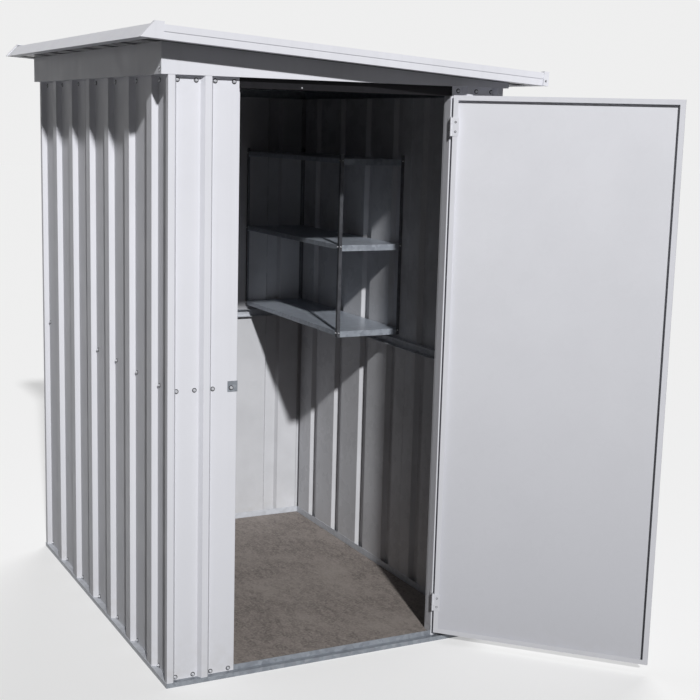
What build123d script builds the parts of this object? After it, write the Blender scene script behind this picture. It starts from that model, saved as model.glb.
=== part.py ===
# Metal tool shed with a single sloping roof, ribbed sheet walls and one outward door.
# The front with the doorway faces -Y, the high eave is at -X, the ground is z = 0,
# and the origin is the centre of the footprint. All sizes are millimetres.
import os
from math import cos, hypot, radians, sin, tan

from build123d import *

# Walls
shed_width = 1088.0
shed_depth = 1430.0
wall_top = 1780.0
sheet_t = 0.8
rib_depth = 17.0
rib_flank = 9.0
bend_r = 2.0
corner_strip = 20.0
corner_fold = 15.0

# Ribs of the side and back walls
wall_rib_crest = 45.0
side_rib_start = 143.0
side_rib_count = 6
front_sheet_ribs = 4
back_rib_start = 122.0
back_rib_count = 5
back_sheet_ribs = 3
lap_width = 20.0
lap_gap = 0.3
lap_run = 1.5

# Front panels and doorway
left_panel_w = 219.0
right_panel_w = 176.0
panel_rib_start = 109.0
panel_rib_crest = 19.0
jamb_return = 34.0
jamb_notch = 41.0
notch_back = 3.0

# Base rails and floor
rail_t = 1.2
rail_lip_out = 2.0
rail_lip_h = 14.0
rail_web_h = 46.0
threshold_h = 30.0
rail_foot = 50.0
floor_t = 22.0
floor_gap = 2.0

# Channels behind the sheets
top_rail_h = 29.0
top_rail_in = 48.0
mid_rail_drop = 889.0
mid_rail_h = 30.0
mid_rail_in = 38.0
post_width = 38.0
post_depth = 39.0
post_gap = 2.0

# Roof
roof_slope = 3.6
roof_edge_rise = 92.0
high_overhang = 103.0
low_overhang = 109.0
end_overhang = 80.0
fascia_out = 20.0
gable_out = 1.0
fascia_in = 50.0
fascia_t = 1.0
roof_rib_crest = 45.0
roof_rib_depth = 16.0
roof_rib_start = 72.0
roof_sheet_ribs = 4
trim_h = 39.0
trim_t = 1.0
trim_under = 32.0
trim_over = 40.0
trim_clear = 0.3
trim_back = 33.0
trim_step_h = 18.0
trim_step_in = 2.0
cap_t = 2.0
cap_side = 15.0
high_cap_w = 62.0
high_cap_rise = 7.0
low_cap_w = 17.0
low_cap_rise = 4.0
beam_w = 40.0
beam_h = 30.0
beam_t = 1.5

# Door
door_overlap = 4.0
door_top_drop = 27.0
door_bottom_z = 29.0
door_depth = 13.0
door_t = 1.0
door_lip = 15.0
door_forward = 13.0
door_open = 134.0

# Hinges
hinge_from_bottom = 103.0
hinge_from_top = 95.0
hinge_h = 56.0
hinge_t = 1.2
barrel_r = 3.8
bore_r = 2.6
pin_r = 2.55
pin_head_h = 1.5
leaf_w = 24.0
barrel_gap = 0.4
mid_barrel = 18.0
door_edge_gap = 5.0

# Handle and striker
handle_drop = 885.0
handle_h = 130.0
handle_w = 16.0
handle_out = 30.0
handle_foot = 24.0
handle_t = 2.5
handle_in = 45.0
clip_w = 30.0
clip_h = 32.0
clip_t = 1.2
clip_tab = 16.0

# Shelf unit
shelf_drops = (840.0, 537.0, 240.0)
shelf_depth = 246.0
shelf_length = 834.0
shelf_t = 0.9
shelf_lip = 21.0
shelf_side_lip = 16.0
shelf_post_leg = 12.0
shelf_post_t = 1.5

half_w = shed_width / 2
half_d = shed_depth / 2
doorway_w = shed_width - left_panel_w - right_panel_w
doorway_mid = left_panel_w + doorway_w / 2
web_in = rib_depth + sheet_t
frame_in = web_in + rail_t
strip_foot = corner_strip + rib_flank
slope_rad = radians(roof_slope)
roof_edge_z = wall_top + roof_edge_rise
mid_rail_z = wall_top - mid_rail_drop
door_top_z = wall_top - door_top_drop
hinge_z = (door_bottom_z + hinge_from_bottom, door_top_z - hinge_from_top)
handle_z = wall_top - handle_drop
shelf_top_z = [wall_top - drop for drop in shelf_drops]
up = (0, 0, 1)


def loop_frames(base, size_x, size_y):
    """Planes at the four corners of a rectangle: local x along an edge, local y inward."""
    x, y, z = base.x_dir, base.y_dir, base.z_dir
    corner = base.from_local_coords
    return {
        "front": Plane(origin=corner(Vector(0, 0, 0)), x_dir=x, z_dir=z),
        "right": Plane(origin=corner(Vector(size_x, 0, 0)), x_dir=y, z_dir=z),
        "back": Plane(origin=corner(Vector(size_x, size_y, 0)), x_dir=x * -1, z_dir=z),
        "left": Plane(origin=corner(Vector(0, size_y, 0)), x_dir=y * -1, z_dir=z),
    }


def across(frame, start):
    """Plane across an edge: local x runs inward and local y up."""
    return Plane(origin=frame.from_local_coords(Vector(start, 0, 0)), x_dir=frame.y_dir, z_dir=frame.x_dir)


def rib_line(crests, end):
    """Wall sheet line along the pan, stepped out to each raised span."""
    points = []
    for low, high in crests:
        points += [(low - rib_flank, rib_depth), (low, 0), (high, 0), (high + rib_flank, rib_depth)]
    return points + [(end, rib_depth)]


def bent_sheet(plane, points, thickness, low, high):
    """Sheet of even thickness on the left of an open line, raised from low to high."""
    with BuildPart() as sheet:
        with BuildSketch(plane.offset(low)):
            with BuildLine():
                FilletPolyline(*points, radius=bend_r)
                offset(amount=thickness, side=Side.LEFT, kind=Kind.INTERSECTION)
            make_face()
        extrude(amount=high - low)
    return sheet.part


def mitred_rail(frame, length, points, thickness, outs, inner):
    """Folded rail along one edge; outs are the overhangs before, along and after the edge."""
    before, along, after = outs
    low = min(p[1] for p in points)
    high = max(p[1] for p in points)
    with BuildPart() as rail:
        with BuildSketch(across(frame, -before)):
            with BuildLine():
                Polyline(*points)
                offset(amount=thickness, side=Side.LEFT, kind=Kind.INTERSECTION)
            make_face()
        extrude(amount=before + length + after)
        with BuildSketch(frame.offset(low - 1)):
            with BuildLine():
                Polyline(
                    (-before, -along),
                    (length + after, -along),
                    (length - inner, inner),
                    (inner, inner),
                    close=True,
                )
            make_face()
        extrude(amount=high - low + 2, mode=Mode.INTERSECT)
    return rail.part


walls = loop_frames(Plane(origin=(-half_w, -half_d, 0), x_dir=(1, 0, 0), z_dir=up), shed_width, shed_depth)

# Base rails: a foot on the ground, a lip under the sheets and a web behind them
rail_line = [
    (web_in, rail_web_h),
    (web_in, rail_lip_h),
    (-rail_lip_out, rail_lip_h),
    (-rail_lip_out, 0),
    (rail_foot, 0),
]
rail_outs = (rail_lip_out, rail_lip_out, rail_lip_out)
base_rail_right = mitred_rail(walls["right"], shed_depth, rail_line, rail_t, rail_outs, rail_foot)
base_rail_left = mirror(base_rail_right, about=Plane.YZ)
base_rail_back = mitred_rail(walls["back"], shed_width, rail_line, rail_t, rail_outs, rail_foot)
with BuildPart() as threshold_rail:
    add(mitred_rail(walls["front"], shed_width, rail_line, rail_t, rail_outs, rail_foot))
    with BuildSketch(walls["front"].offset(threshold_h)):
        with Locations((doorway_mid, frame_in)):
            Rectangle(doorway_w, 2 * frame_in)
    extrude(amount=rail_web_h, mode=Mode.SUBTRACT)

# Channels at wall top and mid height
top_line = [
    (top_rail_in, wall_top),
    (web_in, wall_top),
    (web_in, wall_top - top_rail_h),
    (top_rail_in, wall_top - top_rail_h),
]
mid_low = mid_rail_z - mid_rail_h / 2
mid_high = mid_rail_z + mid_rail_h / 2
mid_line = [(mid_rail_in, mid_high), (web_in, mid_high), (web_in, mid_low), (mid_rail_in, mid_low)]
no_outs = (0, 0, 0)
top_rail_right = mitred_rail(walls["right"], shed_depth, top_line, rail_t, no_outs, top_rail_in)
top_rail_left = mirror(top_rail_right, about=Plane.YZ)
top_rail_back = mitred_rail(walls["back"], shed_width, top_line, rail_t, no_outs, top_rail_in)
door_header = mitred_rail(walls["front"], shed_width, top_line, rail_t, no_outs, top_rail_in)
mid_rail_right = mitred_rail(walls["right"], shed_depth, mid_line, rail_t, no_outs, mid_rail_in)
mid_rail_left = mirror(mid_rail_right, about=Plane.YZ)
mid_rail_back = mitred_rail(walls["back"], shed_width, mid_line, rail_t, no_outs, mid_rail_in)
with BuildPart() as front_mid_rails:
    add(mitred_rail(walls["front"], shed_width, mid_line, rail_t, no_outs, mid_rail_in))
    with BuildSketch(walls["front"].offset(mid_low - 1)):
        with Locations((doorway_mid, mid_rail_in / 2)):
            Rectangle(doorway_w + 2 * (post_width + sheet_t), 2 * mid_rail_in)
    extrude(amount=mid_rail_h + 2, mode=Mode.SUBTRACT)


def even_crests(start, pitch, count):
    """Spans of evenly spaced rib crests."""
    return [(start + n * pitch, start + n * pitch + wall_rib_crest) for n in range(count)]


# Side walls: two ribbed sheets each, lapped in a pan, with a last narrow crest at the rear corner
last_rib = shed_depth - corner_strip
side_rib_pitch = (last_rib - side_rib_start) / side_rib_count
side_crests = even_crests(side_rib_start, side_rib_pitch, side_rib_count)
side_lap = (side_crests[front_sheet_ribs - 1][1] + side_crests[front_sheet_ribs][0]) / 2


def wall_sheet(frame, points):
    return bent_sheet(frame, points, sheet_t, rail_lip_h, wall_top)


def lap_start(at):
    """Edge of a sheet that lies on its neighbour and steps down past it."""
    over = rib_depth - sheet_t
    return [(at - lap_width, over), (at + lap_gap, over), (at + lap_gap + lap_run, rib_depth)]


side_front_line = [(0, 0), (corner_strip, 0), (strip_foot, rib_depth)]
side_front_line += rib_line(side_crests[:front_sheet_ribs], side_lap)
side_rear_line = lap_start(side_lap) + rib_line(side_crests[front_sheet_ribs:], last_rib - rib_flank)
side_rear_line += [(last_rib, 0), (shed_depth, 0)]
left_wall_front_sheet = mirror(wall_sheet(walls["right"], side_front_line), about=Plane.YZ)
left_wall_rear_sheet = mirror(wall_sheet(walls["right"], side_rear_line), about=Plane.YZ)

# The right wall is the same pair of sheets turned end for end
right_wall_front_sheet = left_wall_rear_sheet.rotate(Axis.Z, 180)
right_wall_rear_sheet = left_wall_front_sheet.rotate(Axis.Z, 180)

# Back wall: two lapped sheets with folded corners inside the side sheets
back_rib_pitch = (shed_width - 2 * back_rib_start - wall_rib_crest) / (back_rib_count - 1)
back_crests = even_crests(back_rib_start, back_rib_pitch, back_rib_count)
back_lap = (back_crests[back_sheet_ribs - 1][1] + back_crests[back_sheet_ribs][0]) / 2
folded_corner = [(sheet_t, corner_fold), (sheet_t, 0), (corner_strip, 0)]
back_left_line = folded_corner + [(strip_foot, rib_depth)] + rib_line(back_crests[:back_sheet_ribs], back_lap)
back_right_line = lap_start(back_lap) + rib_line(back_crests[back_sheet_ribs:], shed_width - strip_foot)
back_right_line += [(shed_width - x, y) for x, y in reversed(folded_corner)]
back_wall_right_sheet = wall_sheet(walls["back"], back_left_line)
back_wall_left_sheet = wall_sheet(walls["back"], back_right_line)

# Front panels: folded corner, one rib and a return into the doorway that stops short of both ends
panel_crests = [(panel_rib_start, panel_rib_start + panel_rib_crest)]


def front_panel(width):
    """Panel at the left of the doorway, from the corner to its return."""
    line = folded_corner + [(strip_foot, rib_depth)] + rib_line(panel_crests, width)
    with BuildPart() as panel:
        add(wall_sheet(walls["front"], line + [(width, rib_depth + jamb_return)]))
        with BuildSketch(walls["front"].offset(wall_top - jamb_notch)):
            with Locations((width, rib_depth)):
                Rectangle(2 * notch_back, 2 * jamb_return + 2)
        extrude(amount=jamb_notch + 1, mode=Mode.SUBTRACT)
        with BuildSketch(walls["front"]):
            with Locations((width, web_in + jamb_return / 2)):
                Rectangle(3 * sheet_t, jamb_return)
        extrude(amount=rail_web_h, mode=Mode.SUBTRACT)
    return panel.part


front_panel_left = front_panel(left_panel_w)
front_panel_right = mirror(front_panel(right_panel_w), about=Plane.YZ)


# Door posts: channels open to the inside, standing on the foot of the base rail
def door_post(panel_w):
    """Post behind the return of a panel at the left of the doorway."""
    inner = panel_w - sheet_t
    outer = inner - post_width
    back = frame_in + post_depth
    line = [(outer, back), (outer, frame_in), (inner, frame_in), (inner, back)]
    return bent_sheet(walls["front"], line, rail_t, rail_t, wall_top - top_rail_h)


left_door_post = door_post(left_panel_w)
right_door_post = mirror(door_post(right_panel_w), about=Plane.YZ)

# Floor board on the ground and over the rail feet, notched round the door posts
floor_edge = frame_in + floor_gap
foot_edge = rail_foot + floor_gap
with BuildPart() as floor_board:
    with BuildSketch(Plane.XY.offset(rail_t)):
        Rectangle(shed_width - 2 * floor_edge, shed_depth - 2 * floor_edge)
    extrude(amount=floor_t)
    with BuildSketch(Plane.XY):
        Rectangle(shed_width - 2 * foot_edge, shed_depth - 2 * foot_edge)
    extrude(amount=rail_t)
    with BuildSketch(walls["front"].offset(rail_t)):
        with Locations((doorway_mid, frame_in + post_depth / 2)):
            with GridLocations(doorway_w + 2 * sheet_t + post_width, 1, 2, 1):
                Rectangle(post_width + 2 * post_gap, post_depth + 2 * post_gap)
    extrude(amount=floor_t, mode=Mode.SUBTRACT)

# Roof plane: the underside of the roof pans, from the high edge down to the low edge
roof_run = shed_width + high_overhang + low_overhang
roof_len_x = roof_run / cos(slope_rad)
roof_len_y = shed_depth + 2 * end_overhang
roof_base = Plane(
    origin=(-half_w - high_overhang, -half_d - end_overhang, roof_edge_z),
    x_dir=(cos(slope_rad), 0, -sin(slope_rad)),
    z_dir=(sin(slope_rad), 0, cos(slope_rad)),
)
roof = loop_frames(roof_base, roof_len_x, roof_len_y)


def roof_z(x):
    """Height of the roof plane at world x."""
    return roof_edge_z - (x + half_w + high_overhang) * tan(slope_rad)


# Roof sheets: ribs run down the slope, lapped half way along the depth
rib_top = roof_rib_depth + sheet_t
sheet_inset = trim_step_in + trim_t + trim_clear
high_trim_wall = trim_t * hypot(trim_back, trim_h) / trim_h
high_inset = trim_back * (rib_top + trim_t) / trim_h + high_trim_wall + trim_clear
roof_rib_pitch = (roof_len_y - 2 * roof_rib_start - roof_rib_crest) / (2 * roof_sheet_ribs - 1)
roof_crests = [
    (roof_rib_start + n * roof_rib_pitch, roof_rib_start + n * roof_rib_pitch + roof_rib_crest)
    for n in range(2 * roof_sheet_ribs)
]
roof_lap = (roof_crests[roof_sheet_ribs - 1][1] + roof_crests[roof_sheet_ribs][0]) / 2


def roof_line(start, crests, end):
    """Underside of a ribbed roof sheet, drawn across the depth with height as local y."""
    points = [(start, 0)]
    for low, high in crests:
        points += [
            (low - rib_flank, 0),
            (low, roof_rib_depth),
            (high, roof_rib_depth),
            (high + rib_flank, 0),
        ]
    return points + [(end, 0)]


roof_section = Plane(
    origin=roof_base.origin,
    x_dir=roof_base.y_dir,
    z_dir=roof_base.x_dir,
)
front_line = roof_line(sheet_inset, roof_crests[:roof_sheet_ribs], roof_lap)
lap_lift = [(roof_lap - lap_width, sheet_t), (roof_lap + lap_gap, sheet_t)]
rear_line = roof_line(
    roof_lap + lap_gap + lap_run,
    roof_crests[roof_sheet_ribs:],
    roof_len_y - sheet_inset,
)
low_end = roof_len_x - sheet_inset
roof_sheet_front = bent_sheet(roof_section, front_line, sheet_t, high_inset, low_end)
roof_sheet_rear = bent_sheet(roof_section, lap_lift + rear_line, sheet_t, high_inset, low_end)


# Roof trims: folded channels that clasp the roof edges; the high one leans back, the others are stepped
def roof_trim(frame, length, points, inner_side, mitres):
    with BuildPart() as trim:
        with BuildSketch(across(frame, 0)):
            with BuildLine():
                Polyline(*points)
                offset(amount=trim_t, side=inner_side, kind=Kind.INTERSECTION)
            make_face()
        extrude(amount=length)
        for cut in mitres:
            split(bisect_by=cut)
    return trim.part


def mitre(x, y, kept):
    """Plane through a corner of the trims; kept is the way to the kept side, in roof directions."""
    a, b, c = kept
    way = roof_base.x_dir * a + roof_base.y_dir * b + roof_base.z_dir * c
    return Plane(origin=roof_base.from_local_coords(Vector(x, y, -trim_t)), z_dir=way)


trim_top = trim_h - trim_t
stepped_line = [
    (trim_over, rib_top),
    (trim_over, trim_top),
    (0, trim_top),
    (0, trim_step_h + trim_step_in),
    (trim_step_in, trim_step_h),
    (trim_step_in, -trim_t),
    (trim_under, -trim_t),
]
leaning_line = [
    (trim_under, -trim_t),
    (0, -trim_t),
    (trim_back, trim_top),
    (trim_back + trim_over, trim_top),
    (trim_back + trim_over, rib_top),
]
front_mitres = [
    mitre(0, 0, (trim_h, -trim_h, -trim_back)),
    mitre(roof_len_x, 0, (-1, -1, 0)),
]
high_mitres = [
    mitre(0, 0, (-trim_h, trim_h, trim_back)),
    mitre(0, roof_len_y, (-trim_h, -trim_h, trim_back)),
]
low_mitres = [
    mitre(roof_len_x, 0, (1, 1, 0)),
    mitre(roof_len_x, roof_len_y, (1, -1, 0)),
]
roof_trim_front = roof_trim(roof["front"], roof_len_x, stepped_line, Side.LEFT, front_mitres)
roof_trim_back = mirror(roof_trim_front, about=Plane.XZ)
roof_trim_left = roof_trim(roof["left"], roof_len_y, leaning_line, Side.RIGHT, high_mitres)
roof_trim_right = roof_trim(roof["right"], roof_len_y, stepped_line, Side.LEFT, low_mitres)

# Corner caps over the trims: hollow, open below, to the back and along the front trim
cap_out = cap_t * hypot(trim_back, trim_h) / trim_h
high_cap_top = trim_top + high_cap_rise
low_cap_top = trim_top + low_cap_rise
high_cap_outline = [
    (-cap_out, -trim_t),
    (high_cap_w, -trim_t),
    (high_cap_w, high_cap_top),
    (trim_back * (high_cap_top + trim_t) / trim_h - cap_out, high_cap_top),
]
low_cap_outline = [
    (roof_len_x + cap_t, -trim_t),
    (roof_len_x + cap_t, low_cap_top),
    (roof_len_x - low_cap_w, low_cap_top),
    (roof_len_x - low_cap_w, -trim_t),
]
cap_plane = Plane(
    origin=roof_base.from_local_coords(Vector(0, -cap_t, 0)),
    x_dir=roof_base.x_dir,
    z_dir=roof_base.y_dir * -1,
)


def corner_cap(outline, open_x):
    """Cap with a front, a side and a top; open_x is the side left open along the trim."""
    with BuildPart() as cap:
        with BuildSketch(cap_plane):
            Polygon(*outline, align=None)
        extrude(amount=-(cap_side + cap_t))
        across_faces = cap.faces().sort_by(Axis(roof_base.origin, roof_base.x_dir))
        open_faces = [
            across_faces[open_x],
            cap.faces().sort_by(Axis.Y)[-1],
            cap.faces().sort_by(Axis(roof_base.origin, roof_base.z_dir))[0],
        ]
        offset(amount=-cap_t, openings=open_faces, kind=Kind.INTERSECTION)
    return cap.part


front_caps = [corner_cap(high_cap_outline, -1), corner_cap(low_cap_outline, 0)]
with BuildPart() as roof_corner_caps:
    add(front_caps)
    mirror(about=Plane.XZ)


# Fascias: channels on the wall tops that carry the roof, proud of the two side walls only
def side_fascia(frame, side):
    outer_z = roof_z(side * (half_w + fascia_out))
    inner_z = roof_z(side * (half_w - fascia_in))
    line = [(fascia_in, inner_z), (-fascia_out, outer_z), (-fascia_out, wall_top), (fascia_in, wall_top)]
    return mitred_rail(frame, shed_depth, line, fascia_t, (gable_out, fascia_out, gable_out), fascia_in)


fascia_left = side_fascia(walls["left"], -1)
fascia_right = side_fascia(walls["right"], 1)
gable_plane = Plane(origin=(0, -half_d - gable_out, 0), x_dir=(1, 0, 0), z_dir=(0, -1, 0))
gable_left = -half_w - fascia_out
gable_right = half_w + fascia_out
with BuildPart() as fascia_front:
    with BuildSketch(gable_plane):
        Polygon(
            (gable_left, wall_top),
            (gable_right, wall_top),
            (gable_right, roof_z(gable_right)),
            (gable_left, roof_z(gable_left)),
            align=None,
        )
    extrude(amount=-(gable_out + fascia_in))
    with BuildSketch(gable_plane.offset(-fascia_t)):
        Polygon(
            (gable_left, wall_top + fascia_t),
            (gable_right, wall_top + fascia_t),
            (gable_right, roof_z(gable_right) - fascia_t),
            (gable_left, roof_z(gable_left) - fascia_t),
            align=None,
        )
    extrude(amount=-(gable_out + fascia_in), mode=Mode.SUBTRACT)
    with BuildSketch(walls["front"].offset(wall_top - 1)):
        Polygon(
            (-fascia_out, -gable_out),
            (shed_width + fascia_out, -gable_out),
            (shed_width - fascia_in, fascia_in),
            (fascia_in, fascia_in),
            align=None,
        )
    extrude(amount=roof_z(gable_left) - wall_top + 2, mode=Mode.INTERSECT)
fascia_back = mirror(fascia_front.part, about=Plane.XZ)

# Roof beam across the middle, held between the front and back fascias
beam_top = roof_z(beam_w / 2) - fascia_t / cos(slope_rad)
beam_reach = half_d + gable_out - fascia_t
with BuildPart() as roof_beam:
    with BuildSketch(Plane(origin=(0, -beam_reach, 0), x_dir=(1, 0, 0), z_dir=(0, -1, 0))):
        with Locations((0, beam_top - beam_h / 2)):
            Rectangle(beam_w, beam_h)
        with Locations((0, beam_top - beam_h / 2 - beam_t)):
            Rectangle(beam_w - 2 * beam_t, beam_h, mode=Mode.SUBTRACT)
    extrude(amount=-2 * beam_reach)

# Door frame: local x runs from the hinge pin to the free edge, local y to the outside
door_turn = radians(180 + door_open)
pin_x = half_w - right_panel_w - barrel_r
pin_y = -half_d + rib_depth - door_forward
door_plane = Plane(origin=(pin_x, pin_y, 0), x_dir=(cos(door_turn), sin(door_turn), 0), z_dir=up)
door_far = pin_x + half_w - left_panel_w + door_overlap
door_w = door_far - door_edge_gap
door_h = door_top_z - door_bottom_z
with BuildPart() as door_panel:
    with BuildSketch(door_plane.offset(door_bottom_z)):
        with Locations((door_edge_gap + door_w / 2, door_depth / 2)):
            Rectangle(door_w, door_depth)
    extrude(amount=door_h)
    with BuildSketch(door_plane.offset(door_bottom_z + door_t)):
        with Locations((door_edge_gap + door_w / 2, door_depth / 2)):
            Rectangle(door_w - 2 * door_t, door_depth - 2 * door_t)
    extrude(amount=door_h - 2 * door_t, mode=Mode.SUBTRACT)
    with BuildSketch(door_plane.offset(door_bottom_z + door_lip)):
        with Locations((door_edge_gap + door_w / 2, 0)):
            Rectangle(door_w - 2 * door_lip, 2 * (door_t + 1))
    extrude(amount=door_h - 2 * door_lip, mode=Mode.SUBTRACT)

# Hinges: a leaf in the doorway, a leaf on the door lip and a headed pin
post_leaf_plane = Plane(origin=(pin_x, pin_y, 0), x_dir=(0, 1, 0), z_dir=up)


def hinge_leaf(plane, z, plate_y, barrels, gaps):
    """Leaf beside the pin axis with its barrels; local x runs away from the axis."""
    with BuildPart() as leaf:
        with BuildSketch(plane.offset(z - hinge_h / 2)):
            with Locations((leaf_w / 2, plate_y)):
                Rectangle(leaf_w, hinge_t)
        extrude(amount=hinge_h)
        for low, high in gaps:
            with BuildSketch(plane.offset(z + low)):
                Rectangle(2 * (barrel_r + barrel_gap), 4 * barrel_r)
            extrude(amount=high - low, mode=Mode.SUBTRACT)
        for low, high in barrels:
            with BuildSketch(plane.offset(z + low)):
                Circle(barrel_r)
            extrude(amount=high - low)
        with BuildSketch(plane.offset(z - hinge_h / 2)):
            Circle(bore_r)
        extrude(amount=hinge_h, mode=Mode.SUBTRACT)
    return leaf.part


half_h = hinge_h / 2
half_m = mid_barrel / 2
gap_m = half_m + barrel_gap
outer_spans = [(-half_h, -gap_m), (gap_m, half_h)]
post_leaves = [
    hinge_leaf(post_leaf_plane, z, hinge_t / 2 - barrel_r, outer_spans, [(-gap_m, gap_m)])
    for z in hinge_z
]
door_leaves = [
    hinge_leaf(door_plane, z, -hinge_t / 2, [(-half_m, half_m)], [(-half_h, -half_m), (half_m, half_h)])
    for z in hinge_z
]
with BuildPart() as post_hinge_leaves:
    add(post_leaves)
with BuildPart() as door_hinge_leaves:
    add(door_leaves)
with BuildPart() as hinge_pins:
    for z in hinge_z:
        with BuildSketch(post_leaf_plane.offset(z - half_h)):
            Circle(pin_r)
        extrude(amount=hinge_h)
        with BuildSketch(post_leaf_plane.offset(z + half_h)):
            Circle(barrel_r)
        extrude(amount=pin_head_h)

# Pull handle on the outside of the door
handle_x = door_edge_gap + door_w - handle_in
with BuildPart() as door_handle:
    with BuildSketch(across(door_plane.offset(handle_z), handle_x - handle_w / 2)):
        with BuildLine():
            Polyline(
                (door_depth, -handle_h / 2),
                (door_depth, -handle_h / 2 + handle_foot),
                (door_depth + handle_out, -handle_h / 2 + handle_foot),
                (door_depth + handle_out, handle_h / 2 - handle_foot),
                (door_depth, handle_h / 2 - handle_foot),
                (door_depth, handle_h / 2),
            )
            offset(amount=handle_t, side=Side.RIGHT, kind=Kind.INTERSECTION)
        make_face()
    extrude(amount=handle_w)

# Striker clip on the left jamb
with BuildPart() as striker_clip:
    with BuildSketch(walls["front"].offset(handle_z - clip_h / 2)):
        with BuildLine():
            Polyline(
                (left_panel_w - clip_w, rib_depth),
                (left_panel_w, rib_depth),
                (left_panel_w, rib_depth + clip_tab),
            )
            offset(amount=clip_t, side=Side.RIGHT, kind=Kind.INTERSECTION)
        make_face()
    extrude(amount=clip_h)

# Shelf unit in the back right corner: three trays between four angle posts
shelf_x = half_w - web_in - shelf_post_t - shelf_depth / 2
shelf_y = half_d - web_in - shelf_post_t - shelf_length / 2


def shelf_tray(top):
    with BuildPart() as tray:
        with BuildSketch(Plane.XY.offset(top - shelf_lip)):
            with Locations((shelf_x, shelf_y)):
                Rectangle(shelf_depth, shelf_length)
        extrude(amount=shelf_lip)
        with BuildSketch(Plane.XY.offset(top - shelf_lip)):
            with Locations((shelf_x, shelf_y)):
                Rectangle(shelf_depth - 2 * shelf_t, shelf_length - 2 * shelf_t)
        extrude(amount=shelf_lip - shelf_t, mode=Mode.SUBTRACT)
        with BuildSketch(Plane.XY.offset(top - shelf_lip)):
            with Locations((shelf_x, shelf_y)):
                Rectangle(shelf_depth, shelf_length - 2 * shelf_t)
        extrude(amount=shelf_lip - shelf_side_lip, mode=Mode.SUBTRACT)
    return tray.part


shelf_low, shelf_middle, shelf_high = [shelf_tray(top) for top in shelf_top_z]
post_low = shelf_top_z[0] - shelf_lip
post_high = shelf_top_z[-1] + rail_lip_h
outer_x = shelf_depth + 2 * shelf_post_t
outer_y = shelf_length + 2 * shelf_post_t
with BuildPart() as shelf_posts:
    with BuildSketch(Plane.XY.offset(post_low)):
        with Locations((shelf_x, shelf_y)):
            Rectangle(outer_x, outer_y)
            Rectangle(shelf_depth, shelf_length, mode=Mode.SUBTRACT)
            Rectangle(outer_x - 2 * shelf_post_leg, outer_y + 2, mode=Mode.SUBTRACT)
            Rectangle(outer_x + 2, outer_y - 2 * shelf_post_leg, mode=Mode.SUBTRACT)
    extrude(amount=post_high - post_low)

pieces = {
    "base_rail_left": base_rail_left,
    "base_rail_right": base_rail_right,
    "base_rail_back": base_rail_back,
    "threshold_rail": threshold_rail.part,
    "floor_board": floor_board.part,
    "left_wall_front_sheet": left_wall_front_sheet,
    "left_wall_rear_sheet": left_wall_rear_sheet,
    "right_wall_front_sheet": right_wall_front_sheet,
    "right_wall_rear_sheet": right_wall_rear_sheet,
    "back_wall_left_sheet": back_wall_left_sheet,
    "back_wall_right_sheet": back_wall_right_sheet,
    "front_panel_left": front_panel_left,
    "front_panel_right": front_panel_right,
    "top_rail_left": top_rail_left,
    "top_rail_right": top_rail_right,
    "top_rail_back": top_rail_back,
    "door_header": door_header,
    "mid_rail_left": mid_rail_left,
    "mid_rail_right": mid_rail_right,
    "mid_rail_back": mid_rail_back,
    "front_mid_rails": front_mid_rails.part,
    "left_door_post": left_door_post,
    "right_door_post": right_door_post,
    "fascia_left": fascia_left,
    "fascia_right": fascia_right,
    "fascia_front": fascia_front.part,
    "fascia_back": fascia_back,
    "roof_sheet_front": roof_sheet_front,
    "roof_sheet_rear": roof_sheet_rear,
    "roof_trim_left": roof_trim_left,
    "roof_trim_right": roof_trim_right,
    "roof_trim_front": roof_trim_front,
    "roof_trim_back": roof_trim_back,
    "roof_corner_caps": roof_corner_caps.part,
    "roof_beam": roof_beam.part,
    "door_panel": door_panel.part,
    "door_hinge_leaves": door_hinge_leaves.part,
    "post_hinge_leaves": post_hinge_leaves.part,
    "hinge_pins": hinge_pins.part,
    "door_handle": door_handle.part,
    "striker_clip": striker_clip.part,
    "shelf_low": shelf_low,
    "shelf_middle": shelf_middle,
    "shelf_high": shelf_high,
    "shelf_posts": shelf_posts.part,
}

os.makedirs("parts", exist_ok=True)
for name, piece in pieces.items():
    piece.label = name
    export_step(piece, f"parts/{name}.step")
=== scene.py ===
# Metal tool shed: looks, fasteners, light and camera. Metres, in the frame of the model.
from math import cos, pi, radians, sin, tan

import bmesh
import bpy
from mathutils import Matrix, Vector


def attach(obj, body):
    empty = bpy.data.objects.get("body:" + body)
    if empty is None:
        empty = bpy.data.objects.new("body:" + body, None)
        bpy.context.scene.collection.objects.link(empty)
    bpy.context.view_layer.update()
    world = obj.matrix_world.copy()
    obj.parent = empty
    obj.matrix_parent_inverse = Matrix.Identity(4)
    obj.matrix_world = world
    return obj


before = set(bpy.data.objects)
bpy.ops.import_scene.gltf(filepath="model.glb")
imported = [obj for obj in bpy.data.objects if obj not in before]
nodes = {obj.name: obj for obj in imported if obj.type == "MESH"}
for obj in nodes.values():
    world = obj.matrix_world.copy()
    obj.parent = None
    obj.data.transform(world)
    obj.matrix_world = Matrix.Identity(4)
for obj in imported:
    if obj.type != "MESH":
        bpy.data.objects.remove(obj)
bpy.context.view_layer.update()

# Walls and the screws in their pans
half_w = 0.544
half_d = 0.715
rib_depth = 0.017
right_panel_w = 0.176
side_rib_start = 0.143
side_rib_pitch = 0.21117
side_rib_count = 7
mid_row_bare = (4, 5)
back_rib_start = 0.122
back_rib_pitch = 0.19975
back_rib_count = 5
back_last_screw = 0.05
rib_lead = 0.024
foot_z = 0.023
mid_z = 0.891
top_z = 1.767
screw_rows = (foot_z, mid_z, top_z)
left_panel_screws = (0.032, 0.087, 0.143, 0.2)
right_panel_screws = (0.032, 0.087, 0.152)
clip_t = 0.0012

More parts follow.
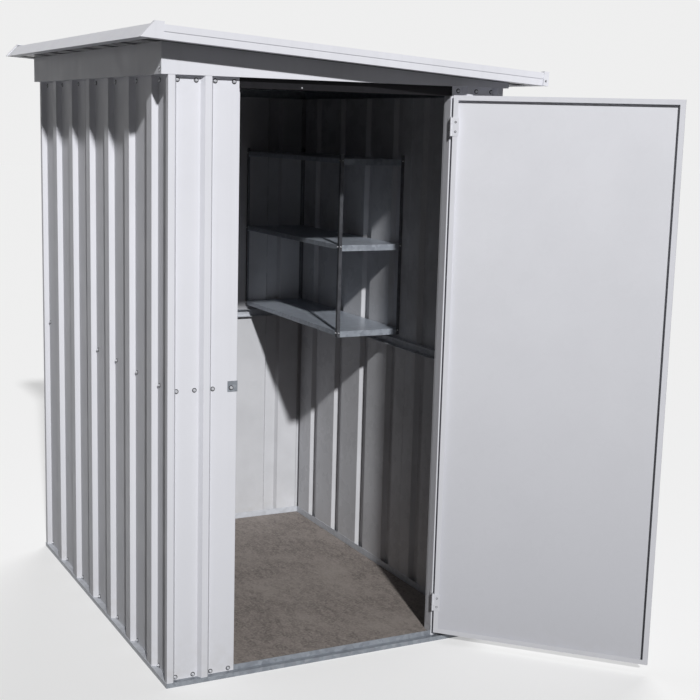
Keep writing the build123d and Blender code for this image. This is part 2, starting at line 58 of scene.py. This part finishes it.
# Fascias, header and corner cap
fascia_out = 0.02
fascia_screw_y = -0.705
high_fascia_screws = (1.79, 1.798)
low_fascia_screw = 1.788
header_screw = (-0.134, -0.6973, 1.757)
corner_screw = (0.6455, -0.7972, 1.804)

# Door and hinges
door_turn = radians(314)
barrel_r = 0.0038
door_forward = 0.013
pin_x = half_w - right_panel_w - barrel_r
pin_y = -half_d + rib_depth - door_forward
door_dir = Vector((cos(door_turn), sin(door_turn), 0))
door_in = Vector((sin(door_turn), -cos(door_turn), 0))
door_flange = door_in.dot(Vector((pin_x, pin_y, 0)))
hinge_z = (0.132, 1.658)
hinge_screw_rise = 0.0145
hinge_screw_run = 0.014
post_leaf_face = 0.0026
door_leaf_face = 0.0012

# Roof
high_overhang = 0.103
end_overhang = 0.08
roof_slope = radians(3.6)
roof_edge_z = 1.872
roof_edge_x = -half_w - high_overhang
roof_crest_h = 0.0168
roof_rib_start = 0.0945
roof_rib_first = -half_d - end_overhang + roof_rib_start
roof_rib_pitch = 0.20014
roof_rib_count = 8
roof_screw_lines = (-0.515, 0, 0.515)

# Shelves
shelf_tops = (0.94, 1.243, 1.54)
shelf_x = (0.2788, 0.5247)
shelf_y = (-0.1383, 0.6957)
bolt_in_x = 0.005
bolt_in_y = 0.006
bolt_drop = 0.006
shelf_post_t = 0.0015

# Fasteners: a hexagon or round head with a flange on a rubber washer
head_r = 0.0036
head_h = 0.0034
flange_r = 0.0046
flange_h = 0.0012
washer_r = 0.007
washer_h = 0.001
washer_sides = 18
round_sides = 16
hexagon_sides = 6
screw_spin = 0.7
small_screw = 0.5
shelf_bolt = 0.65

# Colours, as light values
white_paint = (0.78, 0.785, 0.835, 1)
white_worn = (0.69, 0.695, 0.74, 1)
# Low paint darkens towards this: dust and painted shade
white_dust_and_shade = (0.58, 0.585, 0.62, 1)
# Inside coats of walls and roof: a grey backing coat, set darker than it is as painted shade of the
# interior
backing_coat_with_shade = (0.56, 0.565, 0.59, 1)
roof_backing_with_shade = (0.3, 0.3, 0.315, 1)
door_backing = (0.82, 0.825, 0.87, 1)
# The door darkens towards this at its foot: dust and painted shade
door_dust_and_shade = (0.5, 0.505, 0.54, 1)
soil = (0.36, 0.33, 0.27, 1)
zinc_light = (0.32, 0.345, 0.38, 1)
zinc_dark = (0.17, 0.185, 0.21, 1)
# Near-black header tones: painted shade under the fascia
header_painted_shade_light = (0.016, 0.015, 0.018, 1)
header_painted_shade_dark = (0.008, 0.008, 0.009, 1)
# Rail zinc set paler than the rest: painted reflection of the surroundings
zinc_painted_reflection_light = (0.57, 0.59, 0.63, 1)
zinc_painted_reflection_dark = (0.42, 0.435, 0.47, 1)
shelf_light = (0.5, 0.54, 0.6, 1)
shelf_dark = (0.26, 0.29, 0.34, 1)
frame_light = (0.16, 0.165, 0.185, 1)
frame_dark = (0.09, 0.093, 0.105, 1)
board_mid = (0.2, 0.172, 0.158, 1)
board_dark = (0.125, 0.107, 0.098, 1)
board_light = (0.31, 0.275, 0.25, 1)
screw_metal = (0.62, 0.63, 0.66, 1)
rubber_black = (0.035, 0.035, 0.04, 1)
handle_tone = (0.42, 0.43, 0.45, 1)

# How paint wears: soil gathers towards the foot, paint goes darker towards the foot as dust and
# painted shade, the coat inside is patchy
paint_specular = 0.1
dust_and_shade_top = 1.7
dust_and_shade_power = 1.6
door_dust_and_shade_power = 1.2
splash_foot = 0.015
splash_top = 0.3
splash_power = 2.5
wall_soil = 0.2
door_soil = 0.08
worn_tone = 0.84
wall_patches = 0.8
door_patches = 0.25
flange_margins = (0.008, 0.004)
coat_gloss = 0.14

# Light: a lamp from the front, a softer one from behind and an even world
stage_level = 0.86
stage_tone = (stage_level, stage_level, stage_level, 1)
fill_strength = 0.055
key_energy = 3.35
key_azimuth = radians(-13.5)
key_elevation = radians(30.5)
key_spread = radians(2)
back_energy = 1.7
back_azimuth = radians(140)
back_elevation = radians(35)
back_spread = radians(40)

# Floor: pale with the shadow to the eye and to gloss, darker to scattered light
floor_size = 40.0
floor_white = 0.5
floor_bounce = (0.1, 0.1, 0.1, 1)
floor_roughness = 0.95

# Camera
camera_place = Vector((-1.74326, -4.1753, 1.66101))
camera_yaw = 0.474729
camera_pitch = 0.172183
camera_roll = 0.026635
focal_px = 1303.976
image_px = 700
sensor_mm = 36

# Sockets of the mix node that carry colours
mix_colour_inputs = (6, 7)
mix_colour_output = 2


class Shader:
    """Short helpers for building one material's nodes."""

    def __init__(self, name):
        self.material = bpy.data.materials.new(name)
        self.material.use_nodes = True
        self.tree = self.material.node_tree
        self.bsdf = self.tree.nodes["Principled BSDF"]
        self.texture_coords = self.tree.nodes.new("ShaderNodeTexCoord")
        self.coords = self.texture_coords.outputs["Object"]

    def link(self, a, b):
        self.tree.links.new(a, b)

    def stretched(self, x, y, z):
        node = self.tree.nodes.new("ShaderNodeMapping")
        node.inputs["Scale"].default_value = (x, y, z)
        self.link(self.coords, node.inputs["Vector"])
        return node.outputs["Vector"]

    def noise(self, scale, detail=3, vector=None):
        node = self.tree.nodes.new("ShaderNodeTexNoise")
        node.inputs["Scale"].default_value = scale
        node.inputs["Detail"].default_value = detail
        self.link(vector or self.coords, node.inputs["Vector"])
        return node.outputs["Fac"]

    def cells(self, scale, vector=None):
        node = self.tree.nodes.new("ShaderNodeTexVoronoi")
        node.inputs["Scale"].default_value = scale
        self.link(vector or self.coords, node.inputs["Vector"])
        split = self.tree.nodes.new("ShaderNodeSeparateColor")
        self.link(node.outputs["Color"], split.inputs["Color"])
        return split.outputs["Red"]

    def span(self, value, low, high, to_low=0.0, to_high=1.0):
        """The value's reach from low to high, stretched to the second range and held at its ends."""
        node = self.tree.nodes.new("ShaderNodeMapRange")
        node.inputs["From Min"].default_value = low
        node.inputs["From Max"].default_value = high
        node.inputs["To Min"].default_value = to_low
        node.inputs["To Max"].default_value = to_high
        self.link(value, node.inputs["Value"])
        return node.outputs["Result"]

    def math(self, kind, a, b):
        node = self.tree.nodes.new("ShaderNodeMath")
        node.operation = kind
        for socket, value in zip(node.inputs, (a, b)):
            if isinstance(value, (int, float)):
                socket.default_value = value
            else:
                self.link(value, socket)
        return node.outputs["Value"]

    def mix(self, share, a, b):
        node = self.tree.nodes.new("ShaderNodeMix")
        node.data_type = "RGBA"
        self.link(share, node.inputs["Factor"])
        for index, value in zip(mix_colour_inputs, (a, b)):
            if isinstance(value, tuple):
                node.inputs[index].default_value = value
            else:
                self.link(value, node.inputs[index])
        return node.outputs[mix_colour_output]

    def toward_foot(self, foot, top, power):
        """Nought above the top height, rising to one at the foot."""
        split = self.tree.nodes.new("ShaderNodeSeparateXYZ")
        self.link(self.coords, split.inputs["Vector"])
        return self.math("POWER", self.span(split.outputs["Z"], foot, top, 1, 0), power)

    def along(self, vector, way):
        """How far a vector reaches in the given direction."""
        node = self.tree.nodes.new("ShaderNodeVectorMath")
        node.operation = "DOT_PRODUCT"
        self.link(vector, node.inputs[0])
        node.inputs[1].default_value = way
        return node.outputs["Value"]

    def facing(self, way):
        """One on faces that look the given way, nought on the others."""
        return self.span(self.along(self.texture_coords.outputs["Normal"], way), low=0.04, high=0.12)

    def bump(self, value, strength, distance, under=None):
        node = self.tree.nodes.new("ShaderNodeBump")
        node.inputs["Strength"].default_value = strength
        node.inputs["Distance"].default_value = distance
        self.link(value, node.inputs["Height"])
        if under:
            self.link(under, node.inputs["Normal"])
        return node.outputs["Normal"]

    def set(self, name, value):
        socket = self.bsdf.inputs[name]
        if isinstance(value, (int, float, tuple)):
            socket.default_value = value
        else:
            self.link(value, socket)


def darker(tone, share):
    """The same colour at a share of its brightness."""
    return tuple(channel * share for channel in tone[:3]) + (1,)


def painted_sheet(name, soil_share, inward=None, coat=backing_coat_with_shade, flange=None):
    """White paint on thin sheet: mottle, rain streaks, fine grain and soil, darker towards the foot as
    dust and painted shade; backing coat inside, set darker on walls and roof as painted shade.

    Where a flange folds back over the inside, only what lies behind its level has the coat.
    """
    s = Shader(name)
    mottle = s.span(s.noise(scale=5, detail=4), low=0.35, high=0.7)
    streaks = s.span(s.noise(scale=1, vector=s.stretched(45, 45, 0.9)), low=0.5, high=0.75)
    paint = s.mix(s.math("MULTIPLY", mottle, 0.35), white_paint, white_worn)
    paint = s.mix(s.math("MULTIPLY", streaks, 0.3), paint, white_worn)
    # Darker towards the foot: dust and painted shade
    paint = s.mix(s.toward_foot(0, dust_and_shade_top, dust_and_shade_power), paint, white_dust_and_shade)
    roughness = s.span(s.noise(scale=16), low=0.3, high=0.7, to_low=0.36, to_high=0.5)
    if inward:
        inside = s.facing(inward)
        patches = wall_patches
        if flange is not None:
            level = s.along(s.coords, inward)
            behind = s.span(level, flange - flange_margins[0], flange - flange_margins[1], 1, 0)
            inside = s.math("MULTIPLY", inside, behind)
            patches = door_patches
        # Inside faces take the coat; on walls and roof it is darkened as painted shade of the interior
        back = s.mix(s.math("MULTIPLY", mottle, patches), coat, darker(coat, worn_tone))
        if flange is not None:
            # The door's coat darkens towards its foot: dust and painted shade
            back = s.mix(s.toward_foot(0, dust_and_shade_top, door_dust_and_shade_power), back, door_dust_and_shade)
        paint = s.mix(inside, paint, back)
        roughness = s.math("SUBTRACT", roughness, s.math("MULTIPLY", inside, coat_gloss))
    spots = s.span(s.noise(scale=38, detail=5), low=0.35, high=0.7)
    splash = s.math("MULTIPLY", s.toward_foot(splash_foot, splash_top, splash_power), spots)
    s.set("Base Color", s.mix(s.math("MULTIPLY", splash, soil_share), paint, soil))
    s.set("Roughness", roughness)
    s.set("Specular IOR Level", paint_specular)
    dents = s.bump(s.noise(scale=3.2, detail=1), strength=0.35, distance=0.004)
    grain = s.bump(s.noise(scale=420, detail=2), strength=0.12, distance=0.0004, under=dents)
    s.set("Normal", grain)
    return s.material


def spangled_zinc(name, light, dark, metallic, roughness, specular=0.5):
    """Galvanised steel with crystals of differing tone and sheen."""
    s = Shader(name)
    crystal = s.cells(scale=80)
    fine = s.noise(scale=30, detail=4)
    tone = s.math("ADD", s.math("MULTIPLY", crystal, 0.45), s.math("MULTIPLY", fine, 0.55))
    s.set("Base Color", s.mix(tone, dark, light))
    s.set("Metallic", metallic)
    s.set("Specular IOR Level", specular)
    s.set("Roughness", s.span(crystal, 0, 1, to_low=roughness - 0.06, to_high=roughness + 0.08))
    s.set("Normal", s.bump(tone, strength=0.1, distance=0.0005))
    return s.material


def pressed_board(name):
    """Brown-grey pressed board with chips, scuffs and dust."""
    s = Shader(name)
    chips = s.cells(scale=70, vector=s.stretched(1, 0.35, 1))
    grain = s.noise(scale=150, detail=4)
    body = s.mix(s.span(chips, low=0.1, high=0.9), board_dark, board_mid)
    body = s.mix(s.span(grain, low=0.4, high=0.75), body, board_light)
    dust = s.span(s.noise(scale=4.5, detail=4), low=0.45, high=0.72)
    s.set("Base Color", s.mix(s.math("MULTIPLY", dust, 0.55), body, board_light))
    s.set("Roughness", s.span(grain, low=0.3, high=0.7, to_low=0.72, to_high=0.92))
    s.set("Normal", s.bump(s.math("ADD", chips, grain), strength=0.25, distance=0.0012))
    return s.material


def plain_steel(name, tone, metallic, roughness, scale):
    """Small turned or pressed steel, or rubber, with fine scuffs."""
    s = Shader(name)
    scuff = s.noise(scale, detail=4)
    s.set("Base Color", s.mix(s.span(scuff, low=0.35, high=0.75), tone, darker(tone, 0.6)))
    s.set("Metallic", metallic)
    sheen = s.span(scuff, low=0.3, high=0.7, to_low=roughness - 0.06, to_high=roughness + 0.12)
    s.set("Roughness", sheen)
    s.set("Normal", s.bump(scuff, strength=0.15, distance=0.0003))
    return s.material


trim_paint = painted_sheet("white_trim", 0.0)
rail_zinc = spangled_zinc("galvanised_rail", zinc_light, zinc_dark, metallic=0.35, roughness=0.42)
# Paler rail zinc: painted reflection of the surroundings
zinc_painted_reflection = spangled_zinc("galvanised_painted_reflection", zinc_painted_reflection_light, zinc_painted_reflection_dark, 0.1, 0.45, specular=0.2)
shelf_zinc = spangled_zinc("galvanised_shelf", shelf_light, shelf_dark, metallic=0.35, roughness=0.36)
frame_steel = spangled_zinc("shelf_frame_steel", frame_light, frame_dark, metallic=0.6, roughness=0.38)
# Near-black header: painted shade under the fascia
header_painted_shade = spangled_zinc("header_painted_shade_steel", header_painted_shade_light, header_painted_shade_dark, 0.0, 0.6, specular=0.1)
handle_steel = plain_steel("handle_steel", handle_tone, metallic=0.9, roughness=0.35, scale=160)
screw_steel = plain_steel("screw_steel", screw_metal, metallic=0.35, roughness=0.36, scale=300)
washer_rubber = plain_steel("washer_rubber", rubber_black, metallic=0.0, roughness=0.7, scale=260)

# Each look goes to the nodes whose names hold its key; the first match counts
node_looks = {
    "left_wall": painted_sheet("left_wall_sheet", wall_soil, (1, 0, 0)),
    "right_wall": painted_sheet("right_wall_sheet", wall_soil, (-1, 0, 0)),
    "back_wall": painted_sheet("back_wall_sheet", wall_soil, (0, -1, 0)),
    "front_panel": painted_sheet("front_panel_sheet", wall_soil, (0, 1, 0)),
    "roof_sheet": painted_sheet("roof_sheet_paint", 0.0, (0, 0, -1), roof_backing_with_shade),
    "fascia": trim_paint,
    "roof_trim": trim_paint,
    "roof_corner": trim_paint,
    "door_panel": painted_sheet("door_sheet", door_soil, tuple(door_in), door_backing, door_flange),
    "hinge_leaves": trim_paint,
    "door_post": trim_paint,
    "shelf_posts": frame_steel,
    "shelf": shelf_zinc,
    "floor_board": pressed_board("pressed_board"),
    "hinge_pins": screw_steel,
    "striker": rail_zinc,
    "door_handle": handle_steel,
    "mid_rail": zinc_painted_reflection,
    "base_rail": zinc_painted_reflection,
    "rail": rail_zinc,
    "door_header": header_painted_shade,
    "roof_beam": rail_zinc,
}
for node_name, node in nodes.items():
    look = next(material for part, material in node_looks.items() if part in node_name)
    node.data.materials.clear()
    node.data.materials.append(look)


# Outlines of a screw from its foot up, as (radius, height) pairs
washer_profile = [(washer_r, 0), (washer_r, washer_h * 0.7), (washer_r * 0.93, washer_h)]
flange_top = washer_h + flange_h
flange_profile = [
    (flange_r, washer_h),
    (flange_r, washer_h + flange_h / 2),
    (flange_r * 0.85, flange_top),
]
head_profile = [
    (head_r, flange_top),
    (head_r, flange_top + head_h * 0.75),
    (head_r * 0.86, flange_top + head_h),
    (head_r * 0.45, flange_top + head_h),
    (head_r * 0.4, flange_top + head_h * 0.8),
]


def ring(mesh, matrix, radius, height, count):
    angles = [2 * pi * k / count for k in range(count)]
    points = [Vector((radius * cos(angle), radius * sin(angle), height)) for angle in angles]
    return [mesh.verts.new(matrix @ point) for point in points]


def lathe(mesh, matrix, profile, count, slot):
    """Turned or many-sided body from (radius, height) pairs, closed at its top."""
    rings = [ring(mesh, matrix, radius, height, count) for radius, height in profile]
    for low, high in zip(rings, rings[1:]):
        for k in range(count):
            following = (k + 1) % count
            face = mesh.faces.new((low[k], low[following], high[following], high[k]))
            face.material_index = slot
    mesh.faces.new(rings[-1]).material_index = slot


def outward(place, normal):
    """Matrix that puts local z along a surface normal at a place."""
    turn = Vector(normal).to_track_quat("Z", "Y").to_matrix().to_4x4()
    return Matrix.Translation(Vector(place)) @ turn


def add_screws(name, spots, body, hexagon=True, size=1.0):
    """One mesh of like screws; a spot is (place, outward normal)."""
    mesh = bmesh.new()
    for number, (place, normal) in enumerate(spots):
        spin = Matrix.Rotation(screw_spin * number, 4, "Z")
        matrix = outward(place, normal) @ spin @ Matrix.Scale(size, 4)
        lathe(mesh, matrix, washer_profile, washer_sides, 1)
        lathe(mesh, matrix, flange_profile, round_sides, 0)
        lathe(mesh, matrix, head_profile, hexagon_sides if hexagon else round_sides, 0)
    data = bpy.data.meshes.new(name)
    mesh.normal_update()
    mesh.to_mesh(data)
    mesh.free()
    piece = bpy.data.objects.new(name, data)
    bpy.context.scene.collection.objects.link(piece)
    data.materials.append(screw_steel)
    data.materials.append(washer_rubber)
    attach(piece, body)


# Wall screws: in each pan just before a rib, save where the side walls' mid row has none
pan_x = half_w - rib_depth
pan_y = half_d - rib_depth
side_spots = [-half_d + side_rib_start + k * side_rib_pitch - rib_lead for k in range(side_rib_count)]
back_spots = [-half_w + back_rib_start + k * back_rib_pitch - rib_lead for k in range(back_rib_count)]
back_spots.append(half_w - back_last_screw)
side_places = [(y, z) for z in screw_rows for y in side_spots]
for k in mid_row_bare:
    side_places.remove((side_spots[k], mid_z))
left_screws = [((-pan_x, y, z), (-1, 0, 0)) for y, z in side_places]
right_screws = [((pan_x, -y, z), (1, 0, 0)) for y, z in side_places]
back_screws = [((x, pan_y, z), (0, 1, 0)) for z in screw_rows for x in back_spots]
add_screws("wall_screws_left", left_screws, "shed")
add_screws("wall_screws_right", right_screws, "shed")
add_screws("wall_screws_back", back_screws, "shed")

# Front screws: the one through the striker clip stands on the clip's face
front_xs = [x - half_w for x in left_panel_screws] + [half_w - x for x in right_panel_screws]
front_screws = [((x, -pan_y, z), (0, -1, 0)) for z in screw_rows for x in front_xs]
clip_x = left_panel_screws[-1] - half_w
front_screws.remove(((clip_x, -pan_y, mid_z), (0, -1, 0)))
front_screws.append(((clip_x, -pan_y - clip_t, mid_z), (0, -1, 0)))
add_screws("front_screws", front_screws, "shed")

# Small screws in the fascia ends, the header and the low corner cap
fascia_x = half_w + fascia_out
small_screws = [((-fascia_x, fascia_screw_y, z), (-1, 0, 0)) for z in high_fascia_screws]
small_screws.append(((fascia_x, fascia_screw_y, low_fascia_screw), (1, 0, 0)))
small_screws.append((header_screw, (0, -1, 0)))
small_screws.append((corner_screw, (0, -1, 0)))
add_screws("trim_screws", small_screws, "shed", False, small_screw)

# Roof screws through the rib crests, over the two side walls and the beam
roof_screws = []
roof_up = (sin(roof_slope), 0, cos(roof_slope))
for x in roof_screw_lines:
    crest_z = roof_edge_z - (x - roof_edge_x) * tan(roof_slope) + roof_crest_h / cos(roof_slope)
    for k in range(roof_rib_count):
        roof_screws.append(((x, roof_rib_first + k * roof_rib_pitch, crest_z), roof_up))
add_screws("roof_screws", roof_screws, "shed")

# Hinge screws: round heads, two to a leaf
post_hinge_spots = []
door_hinge_spots = []
for z in hinge_z:
    for rise in (-hinge_screw_rise, hinge_screw_rise):
        pin = Vector((pin_x, pin_y, z + rise))
        post_spot = (pin_x + post_leaf_face, pin_y + hinge_screw_run, z + rise)
        post_hinge_spots.append((post_spot, (-1, 0, 0)))
        door_spot = pin + door_dir * hinge_screw_run + door_in * door_leaf_face
        door_hinge_spots.append((tuple(door_spot), tuple(door_in)))
add_screws("post_hinge_screws", post_hinge_spots, "shed", False, small_screw)
add_screws("door_hinge_screws", door_hinge_spots, "door", False, small_screw)

# Shelf bolts on the outer faces of the corner posts, one to a shelf
shelf_bolts = []
for top in shelf_tops:
    bolt_z = top - bolt_drop
    for x in (shelf_x[0] + bolt_in_x, shelf_x[1] - bolt_in_x):
        shelf_bolts.append(((x, shelf_y[0] - shelf_post_t, bolt_z), (0, -1, 0)))
    for y in (shelf_y[0] + bolt_in_y, shelf_y[1] - bolt_in_y):
        shelf_bolts.append(((shelf_x[0] - shelf_post_t, y, bolt_z), (-1, 0, 0)))
add_screws("shelf_bolts", shelf_bolts, "shed", False, shelf_bolt)


def seen_share(tree):
    """One for rays that show the background: from the eye, in gloss and through glass."""
    path = tree.nodes.new("ShaderNodeLightPath")
    share = path.outputs["Is Camera Ray"]
    for name in ("Is Glossy Ray", "Is Transmission Ray"):
        either = tree.nodes.new("ShaderNodeMath")
        either.operation = "MAXIMUM"
        tree.links.new(share, either.inputs[0])
        tree.links.new(path.outputs[name], either.inputs[1])
        share = either.outputs["Value"]
    return share


# Stage floor: the glow fills what the lit part of it leaves short of the backdrop's tone
lamp_light = key_energy * sin(key_elevation) + back_energy * sin(back_elevation)
floor_light = lamp_light / pi + fill_strength
floor_mesh = bpy.data.meshes.new("stage_floor")
corners = [(x * floor_size, y * floor_size, 0) for x, y in ((-1, -1), (1, -1), (1, 1), (-1, 1))]
floor_mesh.from_pydata(corners, [], [(0, 1, 2, 3)])
floor = bpy.data.objects.new("stage_floor", floor_mesh)
bpy.context.scene.collection.objects.link(floor)
ground = Shader("stage_floor")
ground.set("Base Color", floor_bounce)
ground.set("Roughness", floor_roughness)
ground.set("Specular IOR Level", 0.0)
pale = ground.tree.nodes.new("ShaderNodeBsdfDiffuse")
pale.inputs["Color"].default_value = (floor_white, floor_white, floor_white, 1)
glow = ground.tree.nodes.new("ShaderNodeEmission")
glow.inputs["Color"].default_value = (1, 1, 1, 1)
glow.inputs["Strength"].default_value = stage_level - floor_white * floor_light
both = ground.tree.nodes.new("ShaderNodeAddShader")
ground.link(pale.outputs["BSDF"], both.inputs[0])
ground.link(glow.outputs["Emission"], both.inputs[1])
choice = ground.tree.nodes.new("ShaderNodeMixShader")
ground.link(seen_share(ground.tree), choice.inputs["Fac"])
ground.link(ground.bsdf.outputs["BSDF"], choice.inputs[1])
ground.link(both.outputs["Shader"], choice.inputs[2])
ground.link(choice.outputs["Shader"], ground.tree.nodes["Material Output"].inputs["Surface"])
floor_mesh.materials.append(ground.material)

# World: an even fill, with the backdrop's tone where it is seen
world = bpy.data.worlds.new("studio")
bpy.context.scene.world = world
world.use_nodes = True
tree = world.node_tree
tree.nodes.clear()
output = tree.nodes.new("ShaderNodeOutputWorld")
fill = tree.nodes.new("ShaderNodeBackground")
fill.inputs["Color"].default_value = (1, 1, 1, 1)
fill.inputs["Strength"].default_value = fill_strength
seen = tree.nodes.new("ShaderNodeBackground")
seen.inputs["Color"].default_value = stage_tone
seen.inputs["Strength"].default_value = 1.0
mixer = tree.nodes.new("ShaderNodeMixShader")
tree.links.new(seen_share(tree), mixer.inputs["Fac"])
tree.links.new(fill.outputs["Background"], mixer.inputs[1])
tree.links.new(seen.outputs["Background"], mixer.inputs[2])
tree.links.new(mixer.outputs["Shader"], output.inputs["Surface"])


def add_lamp(name, energy, azimuth, elevation, spread):
    """Far lamp; the azimuth is measured from the front towards the low side."""
    data = bpy.data.lights.new(name, "SUN")
    data.energy = energy
    data.angle = spread
    lamp = bpy.data.objects.new(name, data)
    bpy.context.scene.collection.objects.link(lamp)
    level = cos(elevation)
    to_lamp = Vector((sin(azimuth) * level, -cos(azimuth) * level, sin(elevation)))
    lamp.rotation_mode = "QUATERNION"
    lamp.rotation_quaternion = to_lamp.to_track_quat("Z", "Y")


add_lamp("key", key_energy, key_azimuth, key_elevation, key_spread)
add_lamp("back_light", back_energy, back_azimuth, back_elevation, back_spread)

# Camera, turned by its yaw, pitch and roll
camera_data = bpy.data.cameras.new("camera")
camera_data.sensor_width = sensor_mm
camera_data.lens = focal_px / image_px * camera_data.sensor_width
camera = bpy.data.objects.new("camera", camera_data)
bpy.context.scene.collection.objects.link(camera)
level_share = cos(camera_pitch)
forward = Vector((sin(camera_yaw) * level_share, cos(camera_yaw) * level_share, -sin(camera_pitch)))
level_right = Vector((cos(camera_yaw), -sin(camera_yaw), 0))
level_up = level_right.cross(forward)
right = level_right * cos(camera_roll) + level_up * sin(camera_roll)
up = level_up * cos(camera_roll) - level_right * sin(camera_roll)
turn = Matrix((right, up, -forward)).transposed()
camera.matrix_world = Matrix.Translation(camera_place) @ turn.to_4x4()
bpy.context.scene.camera = camera

bpy.context.scene.view_settings.view_transform = "Standard"
